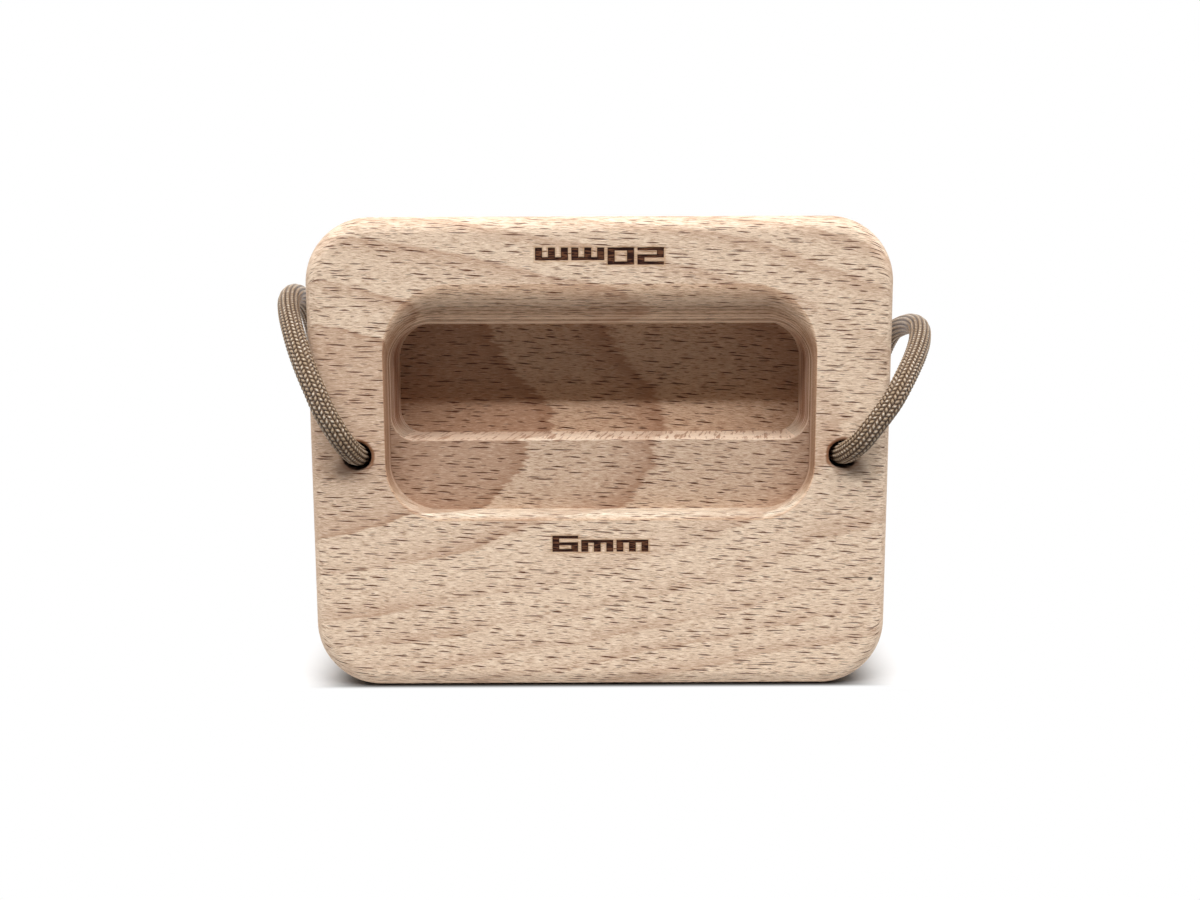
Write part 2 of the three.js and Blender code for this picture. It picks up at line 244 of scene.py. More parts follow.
def add_lamp(name, rise, size, power):
    """An area lamp at that angle above the level line in front of the block, square to its aim."""
    light = bpy.data.lights.new(name, "AREA")
    light.shape = "RECTANGLE"
    light.size, light.size_y = size
    light.energy = power
    lamp = bpy.data.objects.new(name, light)
    lamp.location = LAMPS_AIM + LAMPS_DISTANCE * Vector((0, -math.cos(rise), math.sin(rise)))
    lamp.rotation_euler = (LAMPS_AIM - lamp.location).to_track_quat("-Z", "Y").to_euler()
    bpy.context.scene.collection.objects.link(lamp)


def add_room():
    """A pale room, dimmest towards the camera's side, that looks white."""
    world = bpy.data.worlds.new("pale_room")
    bpy.context.scene.world = world
    recipe = Recipe(world)
    toward_back = recipe.split(recipe.node("ShaderNodeTexCoord", {}).outputs["Generated"])[1]
    given = recipe.ease(toward_back, *ROOM_TURN, ROOM_FRONT, ROOM_SIDES)
    strength = recipe.between(recipe.seen(), 0, 1, given, 1.0)
    sky = recipe.node("ShaderNodeBackground", {"Color": grey(1), "Strength": strength}).outputs[0]
    recipe.node("ShaderNodeOutputWorld", {"Surface": sky})


class Recipe:
    """The nodes of a material or of the world. Each method adds the nodes that it needs and gives back what
    comes out of the last."""

    def __init__(self, owner):
        self.owner = owner
        owner.use_nodes = True
        self.tree = owner.node_tree
        self.tree.nodes.clear()

    def node(self, kind, inputs, **settings):
        """A node with its settings. inputs gives each socket a value or another node's output."""
        node = self.tree.nodes.new(kind)
        for name, value in settings.items():
            setattr(node, name, value)
        for socket, value in inputs.items():
            if isinstance(value, bpy.types.NodeSocket):
                self.tree.links.new(value, node.inputs[socket])
            else:
                node.inputs[socket].default_value = value
        return node

    def math(self, operation, first, second=0.0):
        return self.node("ShaderNodeMath", {0: first, 1: second}, operation=operation).outputs[0]

    def total(self, *values):
        result = values[0]
        for value in values[1:]:
            result = self.math("ADD", result, value)
        return result

    def product(self, *values):
        result = values[0]
        for value in values[1:]:
            result = self.math("MULTIPLY", result, value)
        return result

    def scaled(self, vector, scale):
        return self.node("ShaderNodeVectorMath", {0: vector, 1: scale}, operation="MULTIPLY").outputs[0]

    def length(self, vector):
        return self.node("ShaderNodeVectorMath", {0: vector}, operation="LENGTH").outputs["Value"]

    def dot(self, vector, toward):
        inputs = {0: vector, 1: toward}
        return self.node("ShaderNodeVectorMath", inputs, operation="DOT_PRODUCT").outputs["Value"]

    def split(self, vector):
        return self.node("ShaderNodeSeparateXYZ", {0: vector}).outputs[:3]

    def joined(self, x, y, z):
        return self.node("ShaderNodeCombineXYZ", {0: x, 1: y, 2: z}).outputs[0]

    def noise(self, place, bumps, detail, roughness=0.5, low=0.0, high=1.0):
        """A noise from low to high, with that many bumps per unit of the place along x, y and z."""
        vector = self.scaled(place, bumps)
        inputs = {"Vector": vector, "Scale": 1.0, "Detail": detail, "Roughness": roughness}
        value = self.node("ShaderNodeTexNoise", inputs).outputs[0]
        return value if (low, high) == (0.0, 1.0) else self.between(value, 0, 1, low, high)

    def ease(self, value, low, high, start=0.0, end=1.0):
        """start below low, end above high, and a smooth step between."""
        inputs = {"Value": value, "From Min": low, "From Max": high, "To Min": start, "To Max": end}
        return self.node("ShaderNodeMapRange", inputs, interpolation_type="SMOOTHSTEP").outputs[0]

    def between(self, value, low, high, start, end):
        """A straight ramp from start to end as value goes from low to high."""
        inputs = {"Value": value, "From Min": low, "From Max": high, "To Min": start, "To Max": end}
        return self.node("ShaderNodeMapRange", inputs).outputs[0]

    def mix(self, share, first, second, blend="MIX"):
        inputs = {0: share, 6: first, 7: second}
        return self.node("ShaderNodeMix", inputs, data_type="RGBA", blend_type=blend).outputs[2]

    def ramp(self, value, stops):
        """A grey ramp through (place, level) stops."""
        node = self.node("ShaderNodeValToRGB", {0: value})
        elements = node.color_ramp.elements
        while len(elements) < len(stops):
            elements.new(0.5)
        for element, (place, level) in zip(elements, stops):
            element.position = place
            element.color = grey(level)
        return node.outputs[0]

    def attribute(self, name):
        return self.node("ShaderNodeAttribute", {}, attribute_name=name).outputs["Fac"]

    def chances(self, x, y, z):
        """Four random numbers, from 0 to 1, for the place (x, y, z)."""
        noise = self.node("ShaderNodeTexWhiteNoise", {"Vector": self.joined(x, y, z)}, noise_dimensions="3D")
        others = self.node("ShaderNodeSeparateColor", {0: noise.outputs["Color"]}).outputs
        return [noise.outputs["Value"], *others]

    def seen(self):
        """1 for rays that look at the background, from the camera, in gloss or through glass, else 0."""
        rays = self.node("ShaderNodeLightPath", {}).outputs
        looking = self.math("MAXIMUM", rays["Is Camera Ray"], rays["Is Glossy Ray"])
        return self.math("MAXIMUM", looking, rays["Is Transmission Ray"])

    def finish(self, color, roughness, height, relief, gloss):
        """The surface: a colour, a roughness, a height in metres for its bump, and a level of gloss."""
        bump = self.node("ShaderNodeBump", {"Height": height, "Distance": 1.0, "Strength": relief}).outputs[0]
        inputs = {"Base Color": color, "Roughness": roughness, "Normal": bump, "Specular IOR Level": gloss}
        surface = self.node("ShaderNodeBsdfPrincipled", inputs).outputs[0]
        self.node("ShaderNodeOutputMaterial", {"Surface": surface})
        return self.owner


def grey(level):
    return (level, level, level, 1)


# Beech colours, and the tints by which the milled pocket is darker than the sanded faces; the deep floor's
# and the deep walls' tints are painted shade that deepens into the pocket
PALE_BEECH = (0.78, 0.61, 0.46, 1)
DARK_BEECH = (0.52, 0.335, 0.23, 1)
RUST_BEECH = (0.47, 0.30, 0.20, 1)
SILVER_BEECH = (0.92, 0.77, 0.62, 1)
FIBRE_BROWN = (0.42, 0.26, 0.17, 1)
FLECK_BROWN = (0.07, 0.014, 0.004, 1)
END_BROWN = (0.55, 0.385, 0.265, 1)
CUTTER_BROWN = (0.20, 0.10, 0.06, 1)
CHATTER_BROWN = (0.33, 0.18, 0.11, 1)
SCORCH_BROWN = (0.22, 0.085, 0.035, 1)
DIRT_AND_SHADOW_BROWN = (0.22, 0.14, 0.10, 1)
BURNED_BROWN = (0.020, 0.006, 0.004, 1)
BURN_STREAK = (0.135, 0.055, 0.028, 1)
HALO_TAN = (0.46, 0.26, 0.13, 1)
FLOOR_TINT = (0.75, 0.71, 0.69, 1)
# Painted shade on the deep floor
DEEP_FLOOR_PAINTED_SHADE = (1.0, 0.96, 0.93, 1)
LIP_TINT = (0.93, 0.85, 0.79, 1)
SILL_TINT = (0.86, 0.92, 0.95, 1)
WALL_TINT = (0.74, 0.66, 0.61, 1)
# Painted shade on the deep side walls, deepening with the depth
DEEP_WALL_PAINTED_SHADE = (0.66, 0.43, 0.37, 1)

# The beech is worked out in millimetres, and its relief in metres. A name that ends in NOISE gives bumps
# per millimetre along x, y and z, then detail and roughness. A name that ends in SHADE gives two values
# and the shares of a colour at them, with a smooth step between.
MILLIMETRES = 1000
FRONT_Y = MILLIMETRES * FRONT
SHALLOW_Y = MILLIMETRES * (FRONT + SHALLOW_DEPTH)

# The grain runs along x, a little down to the right, in slow waves. From one slab of the depth to the next
# the flecks change, as they do in the wood. Where a face turns away from the front, up or down, the depth
# takes the place of the height.
GRAIN_FALL = 0.045
WAVE_NOISE = (0.012, 0.02, 0.025), 1.0
WAVE_HEIGHT = 2.4
HAIR_NOISE = (0.45, 0.4, 0.35), 2.0
HAIR_HEIGHT = 0.4
SLAB_START = 2.5
SLAB_DEPTH = 7
WOBBLE_NOISE = (0.5, 0, 1.5), 2.0
SLAB_WOBBLE = 1.2
STREAK_NOISE = (0.06, 0.3, 0.9), 3.0, 0.6
STREAK_SHADE = (0.48, 0.7, 0.0, 0.22)
FIBRE_NOISE = (0.5, 1.0, 4.5), 3.0, 0.75
FIBRE_SHADE = (0.49, 0.63, 0.0, 0.8)
SILVER_SHADE = (0.36, 0.48, 0.9, 0.0)
SILVER_ON_FIGURE = 0.3
PORE_NOISE = (0.5, 1.6, 3.0), 3.0, 0.7
PORE_SHADE = (0.4, 0.65, 0.2, 0.8)
FIBRE_HEIGHT = 0.00008
FLECK_DEPTH = 0.00002
CUTTER_DEPTH = 0.00003
BEECH_RELIEF = 0.7
BEECH_ROUGHNESS = 0.5
BEECH_GLOSS = 0.09

# The growth figure: (place, shade before it) of the lines in the field
# sqrt((z - FIGURE_Z)^2 + (FIGURE_STRETCH * |x - FIGURE_X|^FIGURE_POWER)^2),
# whose middle lies lower by FIGURE_DIP at the depth of the shallow edge. On the deep floor it leans and
# is drawn out upwards. It is paler on the sanded front, and fades there from place to place.
FIGURE_X = -58
FIGURE_Z = 54.5
FIGURE_DIP = 5.5
FIGURE_DIP_END = (-9, 0)
FIGURE_STRETCH = 2.0
FIGURE_POWER = 0.64
FIGURE_DEEP = (-8, 0)
FIGURE_DEEP_Z = 62
FIGURE_DEEP_LEAN = 0.4
FIGURE_DEEP_RISE = 0.45
FIGURE_LINES = ((22, 1.0), (30.3, 0.9), (39.7, 0.8), (46, 0.7), (51.7, 0.7), (56.2, 0.65), (60.5, 0.6))
FIGURE_CORE = 0.64
FIGURE_CORE_SHARE = 0.75
FIGURE_RISE_SHARES = (0.6, 0.2)
FIGURE_RIM = 1.1
FIGURE_RIM_SHARE = 0.7
FIGURE_BLUR = 0.13
FIGURE_FULL = 70
FIGURE_FRONT = 0.95
FIGURE_POCKET = 1.1
FIGURE_SWAY = 2.0
SWAY_NOISE = (0.04, 0.05, 0.05), 1.0
FIGURE_RAGGED = 4.5
RAGGED_NOISE = (0.06, 0.1, 1.1), 3.0, 0.6
CLOUD_NOISE = (0.02, 0.05, 0.06), 2.0
CLOUD_SHADE = (0.38, 0.58, 0.5, 1.1)
RUST_SHADE = (0.7, 0.95, 0.0, 0.7)

# Flecks: cell (along, across), share of the cells filled, half length from and to, half thickness
LONG_FLECKS = ((5.6, 1.0), 0.5, (1.0, 2.7), 0.145)
SHORT_FLECKS = ((3.0, 0.7), 0.34, (0.5, 1.25), 0.105)
SHORT_FLECK_SHARE = 0.7
LEDGE_FLECK_SHARE = 0.2
FLECK_SHIFT = 7.3
FLECK_TILT = (-0.04, 0.04)
FLECK_EDGE = (0.0, 0.25)
FLECK_STRENGTH = (0.75, 1.0)
FLECK_END_SHADE = (0.0, 0.4, 1.0, 0.0)

# Pocket: how the tints deepen with the depth, those of the deep floor and deep walls as painted shade, the
# cutter's lines on its walls and its marks on the ledge
LIP_SHADE = (-14.5, -9.0, 1.0, 0.1)
DEEP_FLOOR_PAINTED_SHADE_STEP = (-6, 0, 0.0, 1.0)
DEEP_WALL_PAINTED_SHADE_STEP = (-11, -5, 0.0, 1.0)
CUTTER_SHADE = (-15.7, -14.0, 0.0, 1.0)
CUTTER_PLACE = (0.3, 0.7)
CUTTER_NOISE = (1, 1.5, 1), 3.0, 0.65
CUTTER_LINE_SHADE = (0.52, 0.6, 0.0, 1.0)
CUTTER_LINE_SHARE = 0.4
CUTTER_SILVER_SHADE = (0.42, 0.52, 0.7, 0.0)
# The ledge's pale share: partly its own pale fibres, partly painted light where it faces up
LEDGE_PALE_AND_LIGHT_SHARE = 0.25
CHATTER_STEP = 1.2
CHATTER_SLANT = -0.16
CHATTER_NOISE = (1, 0.1, 1), 2.0, 0.6
CHATTER_SHADE = (0.52, 0.60, 0.0, 0.8)

# Pin knot: a dark spot and the crack that leads to it
PIN_PLACE = (56.3, 23.3)
PIN_REACH = (0.75, 0.5)
CRACK_PLACE = (52.8, 23.5)
CRACK_REACH = (4.2, 0.14)
PIN_MIDDLE = 0.4
PIN_SHARE = 0.9

# Cord holes: the scorched ring, strongest towards the block's middle and upwards, and below each hole a dull
# brown patch, partly dirt and partly the cord's painted shadow
RING_TOWARD = (-0.7, 0.0, 0.7)
RING_STRENGTH_SHADE = (-0.5, 0.6, 0.3, 0.85)
RING_RAGGED = 0.35
RING_SHADE = (3.45, 3.9, 1.0, 0.0)
BORE_SHADE = (2.75, 3.1, 0.95, 0.0)
# The patch below each hole: partly dirt, partly the cord's painted shadow
DIRT_AND_SHADOW_PLACE = (2.6, -2.6)
DIRT_AND_SHADOW_REACH = (3.6, 2.9)
DIRT_AND_SHADOW_MIDDLE = 0.1
DIRT_AND_SHADOW_SHARE = 0.7

# Burned marks: by the share of the burn, 1 within a stroke and 0 at the end of its halo
HALO_SHADE = (0.0, 0.5, 0.0, 0.5)
BURN_SHADE = (0.52, 0.66, 0.0, 1.0)
BURN_INNER_SHADE = (0.62, 0.8, 0.05, 1.0)
BURN_NOISE = (0.35, 1, 3.6), 3.0
BURN_STREAK_SHADE = (0.46, 0.58, 0.0, 1.0)


def flecks(recipe, x, z, slab, cell, filled, half_lengths, half_thickness):
    """Dark spindles along the grain. The face is a wall of long cells, each row of them shifted at random,
    and a share of the cells holds a spindle about a point of its own:
    1 - (along / half length)^2 - |across| / half thickness, above zero."""
    length, height = cell
    row = recipe.math("DIVIDE", z, height)
    row_number = recipe.math("FLOOR", row)
    shift = recipe.chances(row_number, slab, 0.0)[0]
    column = recipe.total(recipe.math("DIVIDE", x, length), recipe.product(shift, FLECK_SHIFT))
    column_number = recipe.math("FLOOR", column)
    place, chance, size, strength = recipe.chances(column_number, row_number, slab)
    slack = length / 2 - half_lengths[1]
    lift = height / 2 - half_thickness
    within_row = recipe.product(recipe.math("SUBTRACT", column, column_number), length)
    middle = recipe.between(place, 0, 1, length / 2 - slack, length / 2 + slack)
    along = recipe.math("SUBTRACT", within_row, middle)
    within_column = recipe.product(recipe.math("SUBTRACT", row, row_number), height)
    level = recipe.between(chance, 0, filled, height / 2 - lift, height / 2 + lift)
    tilted = recipe.product(along, recipe.between(strength, 0, 1, *FLECK_TILT))
    across = recipe.math("ABSOLUTE", recipe.total(recipe.math("SUBTRACT", within_column, level), tilted))
    reach = recipe.math("DIVIDE", along, recipe.between(size, 0, 1, *half_lengths))
    edge = recipe.total(1.0, recipe.product(reach, reach, -1.0), recipe.product(across, -1 / half_thickness))
    chosen = recipe.math("LESS_THAN", chance, filled)
    shade = recipe.between(strength, 0, 1, *FLECK_STRENGTH)
    return recipe.product(recipe.ease(edge, *FLECK_EDGE), chosen, shade)


def spot(recipe, x, z, place, reach, middle):
    """1 within that share of an ellipse's reach and 0 from its edge on."""
    across = recipe.math("DIVIDE", recipe.math("SUBTRACT", x, place[0]), reach[0])
    up = recipe.math("DIVIDE", recipe.math("SUBTRACT", z, place[1]), reach[1])
    return recipe.ease(recipe.length(recipe.joined(across, up, 0)), middle, 1.0, 1.0, 0.0)


def growth_figure(recipe, x, z, place, ragged):
    """Shade of the growth lines, 0 pale to 1 dark. It deepens outwards to each line and then starts anew."""
    y = recipe.split(place)[1]
    deep = recipe.ease(y, *FIGURE_DEEP)
    lean = recipe.product(recipe.total(z, -FIGURE_DEEP_Z), deep, FIGURE_DEEP_LEAN)
    edge = recipe.product(ragged, FIGURE_RAGGED)
    sideways = recipe.math("ABSOLUTE", recipe.total(x, -FIGURE_X, edge, lean))
    across = recipe.product(recipe.math("POWER", sideways, FIGURE_POWER), FIGURE_STRETCH)
    dip_begun = recipe.between(y, FRONT_Y, SHALLOW_Y, 0, FIGURE_DIP)
    dip_left = recipe.between(y, *FIGURE_DIP_END, FIGURE_DIP, 0)
    raised = recipe.total(z, -FIGURE_Z, recipe.math("MINIMUM", dip_begun, dip_left))
    upward = recipe.product(raised, recipe.between(deep, 0, 1, 1, FIGURE_DEEP_RISE))
    sway = recipe.noise(place, *SWAY_NOISE, low=-FIGURE_SWAY, high=FIGURE_SWAY)
    field = recipe.total(recipe.length(recipe.joined(across, upward, 0)), sway)
    stops = [(0, FIGURE_CORE), (FIGURE_CORE_SHARE * FIGURE_LINES[0][0], FIGURE_CORE)]
    last = 0
    for line, shade in FIGURE_LINES:
        if last:
            stops.append((last + (line - last) * FIGURE_RISE_SHARES[0], shade * FIGURE_RISE_SHARES[1]))
        stops.append((line - FIGURE_RIM, FIGURE_RIM_SHARE * shade))
        stops += [(line - FIGURE_BLUR, shade), (line + FIGURE_BLUR, 0)]
        last = line
    stops = [(at / FIGURE_FULL, shade) for at, shade in stops]
    shade = recipe.ramp(recipe.math("DIVIDE", field, FIGURE_FULL), stops)
    return recipe.product(shade, recipe.ease(y, FRONT_Y, SHALLOW_Y, FIGURE_FRONT, FIGURE_POCKET))


def milled(recipe, wood, x, y, end_grain):
    """The pocket's wood: darker floors, with painted shade deepening on the deep floor and the deep walls,
    walls with a line at each depth that the cutter ran at, and a ledge paled partly by its own pale fibres
    and partly by painted light where it faces up, with short marks across it."""
    wall, floor, ledge = (recipe.attribute(name) for name in ("cut_wall", "milled_floor", "cut_ledge"))
    side = recipe.product(wall, end_grain)
    # The deep floor's and the deep walls' tints are painted shade that grows with the depth; the others are
    # the milled wood's and the end grain's own tones.
    for share, tint in (
        (floor, FLOOR_TINT),
        (recipe.product(wall, recipe.ease(y, *LIP_SHADE)), LIP_TINT),
        (recipe.attribute("cut_sill"), SILL_TINT),
        (recipe.product(floor, recipe.ease(y, *DEEP_FLOOR_PAINTED_SHADE_STEP)), DEEP_FLOOR_PAINTED_SHADE),
        (side, WALL_TINT),
        (recipe.product(side, recipe.ease(y, *DEEP_WALL_PAINTED_SHADE_STEP)), DEEP_WALL_PAINTED_SHADE),
    ):
        wood = recipe.mix(share, wood, tint, "MULTIPLY")
    begun = recipe.product(wall, recipe.ease(y, *CUTTER_SHADE))
    cutter = recipe.noise(recipe.joined(CUTTER_PLACE[0], y, CUTTER_PLACE[1]), *CUTTER_NOISE)
    lines = recipe.product(begun, recipe.ease(cutter, *CUTTER_LINE_SHADE))
    wood = recipe.mix(recipe.product(lines, CUTTER_LINE_SHARE), wood, CUTTER_BROWN)
    wood = recipe.mix(recipe.product(begun, recipe.ease(cutter, *CUTTER_SILVER_SHADE)), wood, SILVER_BEECH)
    slanted = recipe.total(recipe.product(x, CHATTER_STEP), recipe.product(y, CHATTER_SLANT))
    chatter = recipe.noise(recipe.joined(slanted, y, 0), *CHATTER_NOISE)
    # Partly pale fibres, partly painted light on the up-facing ledge
    wood = recipe.mix(recipe.product(ledge, LEDGE_PALE_AND_LIGHT_SHARE), wood, SILVER_BEECH)
    wood = recipe.mix(recipe.product(ledge, recipe.ease(chatter, *CHATTER_SHADE)), wood, CHATTER_BROWN)
    return wood, lines


def holed(recipe, wood, x, z, ragged):
    """The wood with a scorched ring round each cord hole, black inside it, and under it a dull brown patch,
    partly dirt and partly the cord's painted shadow.
    """
    outward = recipe.math("SUBTRACT", recipe.math("ABSOLUTE", x), MILLIMETRES * HOLE_X)
    upward = recipe.math("SUBTRACT", z, MILLIMETRES * HOLE_Z)
    from_axis = recipe.joined(outward, 0, upward)
    distance = recipe.length(from_axis)
    turn = recipe.math("DIVIDE", recipe.dot(from_axis, RING_TOWARD), distance)
    rim = recipe.total(distance, recipe.product(ragged, RING_RAGGED))
    scorch = recipe.product(recipe.ease(rim, *RING_SHADE), recipe.ease(turn, *RING_STRENGTH_SHADE))
    # Partly dirt, partly the cord's painted shadow on the face
    dirt_and_shadow = spot(recipe, outward, upward, DIRT_AND_SHADOW_PLACE, DIRT_AND_SHADOW_REACH, DIRT_AND_SHADOW_MIDDLE)
    wood = recipe.mix(recipe.product(dirt_and_shadow, DIRT_AND_SHADOW_SHARE), wood, DIRT_AND_SHADOW_BROWN)
    wood = recipe.mix(scorch, wood, SCORCH_BROWN)
    return recipe.mix(recipe.ease(rim, *BORE_SHADE), wood, BURNED_BROWN)


def beech():
    """Sanded beech: growth figure, wavy fibre, dark flecks, cutter lines in the pocket, burned marks,
    scorched cord holes and one pin knot."""
    recipe = Recipe(bpy.data.materials.new("sanded_beech"))
    place = recipe.scaled(recipe.node("ShaderNodeTexCoord", {}).outputs["Object"], (MILLIMETRES,) * 3)
    x, y, z = recipe.split(place)
    wave = recipe.noise(place, *WAVE_NOISE, low=-WAVE_HEIGHT, high=WAVE_HEIGHT)
    hair = recipe.noise(place, *HAIR_NOISE, low=-HAIR_HEIGHT, high=HAIR_HEIGHT)
    grain_z = recipe.total(z, recipe.product(x, GRAIN_FALL), wave)
    along = recipe.joined(x, y, grain_z)
    turned, end_grain = recipe.attribute("turned"), recipe.attribute("end_grain")
    inward = recipe.total(y, -FRONT_Y)
    turned_z = recipe.total(grain_z, recipe.product(turned, inward))
    combed = recipe.joined(x, y, recipe.total(turned_z, hair))
    wobble = recipe.noise(along, *WOBBLE_NOISE, low=-SLAB_WOBBLE, high=SLAB_WOBBLE)
    behind = recipe.product(inward, recipe.math("SUBTRACT", 1.0, recipe.math("ABSOLUTE", turned)))
    slab = recipe.math("FLOOR", recipe.math("DIVIDE", recipe.total(behind, wobble, SLAB_START), SLAB_DEPTH))

    ragged = recipe.noise(along, *RAGGED_NOISE, low=-1.0, high=1.0)
    cloud = recipe.noise(along, *CLOUD_NOISE)
    faded = recipe.math("MAXIMUM", recipe.ease(cloud, *CLOUD_SHADE), recipe.ease(y, FRONT_Y, SHALLOW_Y))
    figure = recipe.product(growth_figure(recipe, x, z, place, ragged), faded)
    wood = recipe.mix(figure, PALE_BEECH, DARK_BEECH)
    wood = recipe.mix(recipe.ease(figure, *RUST_SHADE), wood, RUST_BEECH)
    streaks = recipe.noise(combed, *STREAK_NOISE)
    fibre = recipe.noise(combed, *FIBRE_NOISE)
    wood = recipe.mix(recipe.ease(streaks, *STREAK_SHADE), wood, FIBRE_BROWN)
    wood = recipe.mix(recipe.ease(fibre, *FIBRE_SHADE), wood, FIBRE_BROWN)
    silver_left = recipe.between(figure, 0, 1, 1, SILVER_ON_FIGURE)
    wood = recipe.mix(recipe.product(recipe.ease(fibre, *SILVER_SHADE), silver_left), wood, SILVER_BEECH)
    pores = recipe.noise(place, *PORE_NOISE)
    wood = recipe.mix(recipe.product(end_grain, recipe.ease(pores, *PORE_SHADE)), wood, END_BROWN)
    long_flecks = flecks(recipe, x, turned_z, slab, *LONG_FLECKS)
    short_flecks = flecks(recipe, x, turned_z, slab, *SHORT_FLECKS)
    dark = recipe.math("MAXIMUM", long_flecks, recipe.product(short_flecks, SHORT_FLECK_SHARE))
    dark = recipe.product(dark, recipe.between(recipe.attribute("cut_ledge"), 0, 1, 1, LEDGE_FLECK_SHARE))
    dark = recipe.product(dark, recipe.ease(end_grain, *FLECK_END_SHADE))
    wood = recipe.mix(dark, wood, FLECK_BROWN)

    wood, lines = milled(recipe, wood, x, y, end_grain)
    pin = spot(recipe, x, z, PIN_PLACE, PIN_REACH, PIN_MIDDLE)
    crack = spot(recipe, x, z, CRACK_PLACE, CRACK_REACH, PIN_MIDDLE)
    wood = recipe.mix(recipe.product(recipe.math("MAXIMUM", pin, crack), PIN_SHARE), wood, BURNED_BROWN)
    wood = holed(recipe, wood, x, z, ragged)

    burn = recipe.attribute("burn")
    streak = recipe.ease(recipe.noise(place, *BURN_NOISE), *BURN_STREAK_SHADE)
    inner = recipe.product(streak, recipe.ease(burn, *BURN_INNER_SHADE))
    burned = recipe.mix(inner, BURNED_BROWN, BURN_STREAK)
    wood = recipe.mix(recipe.ease(burn, *HALO_SHADE), wood, HALO_TAN)
    wood = recipe.mix(recipe.ease(burn, *BURN_SHADE), wood, burned)

    height = recipe.total(
        recipe.product(fibre, FIBRE_HEIGHT),
        recipe.product(dark, -FLECK_DEPTH),
        recipe.product(lines, -CUTTER_DEPTH),
    )
    return recipe.finish(wood, BEECH_ROUGHNESS, height, BEECH_RELIEF, BEECH_GLOSS)


# Sheath colours, with painted shade for the gaps and a painted highlight for the crowns of some floats, and
# how they lie on a float: a name that ends in SHADE gives heights and shares, as above
# Painted shade in the gaps between floats
GAP_PAINTED_SHADE = (0.045, 0.02, 0.01, 1)
FLOAT_TAN = (0.315, 0.22, 0.135, 1)
# Painted highlight colour
PAINTED_HIGHLIGHT_CREAM = (0.95, 0.87, 0.74, 1)
WORN_TAN = (0.20, 0.125, 0.075, 1)
FLOAT_SHADE = (0.35, 0.8, 0.0, 1.0)
CREST_HIGHLIGHT_SHADE = (0.8, 0.97, 0.0, 1.0)
HIGHLIGHT_CHANCE_SHADE = (0.2, 0.95, 0.1, 1.0)
WORN_SHARE = 0.6
YARN_NOISE = (6.0, 1.2, 1), 2.0
YARN_SHADE = (0.45, 0.75, 0.0, 0.35)
YARN_HEIGHT_SHARE = 0.2
SHEATH_RELIEF = 0.8
SHEATH_ROUGHNESS = 0.3
SHEATH_GLOSS = 0.3


def cord_sheath():
    """A shiny braided sheath: tan floats, a painted pale highlight on the crowns of some, and painted shade,
    dark brown, in the gaps. The piece's UV map counts rows of floats round the cord and floats along it."""
    recipe = Recipe(bpy.data.materials.new("braided_sheath"))
    row, step, _ = recipe.split(recipe.node("ShaderNodeUVMap", {}, uv_map="braid").outputs[0])
    row_number = recipe.math("FLOOR", row)
    across = recipe.math("SUBTRACT", row, row_number)
    other = recipe.math("PINGPONG", row_number, 1.0)
    lean = recipe.product(recipe.total(across, -0.5), recipe.between(other, 0, 1, BRAID_LEAN, -BRAID_LEAN))
    phase = recipe.total(step, recipe.product(other, 0.5), lean)
    float_number = recipe.math("FLOOR", phase)
    along = recipe.math("SUBTRACT", phase, float_number)
    crown = recipe.math("SINE", recipe.product(along, math.pi))
    crown = recipe.math("MAXIMUM", crown, recipe.attribute("drawn"))
    swell = recipe.math("SINE", recipe.product(across, math.pi))
    height = recipe.math("SQRT", recipe.product(crown, swell))
    tint, highlight_chance, _, _ = recipe.chances(row_number, float_number, 0.0)
    yarn = recipe.noise(recipe.joined(row, phase, 0), *YARN_NOISE)
    # Painted shade: dark brown low in the gaps, tan on the floats' crowns
    color = recipe.mix(recipe.ease(height, *FLOAT_SHADE), GAP_PAINTED_SHADE, FLOAT_TAN)
    # Painted highlight: near-white on the crowns of a random share of floats
    painted_highlight = recipe.product(recipe.ease(height, *CREST_HIGHLIGHT_SHADE), recipe.ease(highlight_chance, *HIGHLIGHT_CHANCE_SHADE))
    color = recipe.mix(painted_highlight, color, PAINTED_HIGHLIGHT_CREAM)
    color = recipe.mix(recipe.product(tint, tint, WORN_SHARE), color, WORN_TAN)
    color = recipe.mix(recipe.ease(yarn, *YARN_SHADE), color, WORN_TAN)
    bump = recipe.product(recipe.total(height, recipe.product(yarn, YARN_HEIGHT_SHARE)), BRAID_RELIEF)
    return recipe.finish(color, SHEATH_ROUGHNESS, bump, SHEATH_RELIEF, SHEATH_GLOSS)


def beyond(recipe, value, half):
    """How far the value lies past half to either side of zero, and 0 within it."""
    return recipe.math("MAXIMUM", recipe.math("SUBTRACT", recipe.math("ABSOLUTE", value), half), 0)


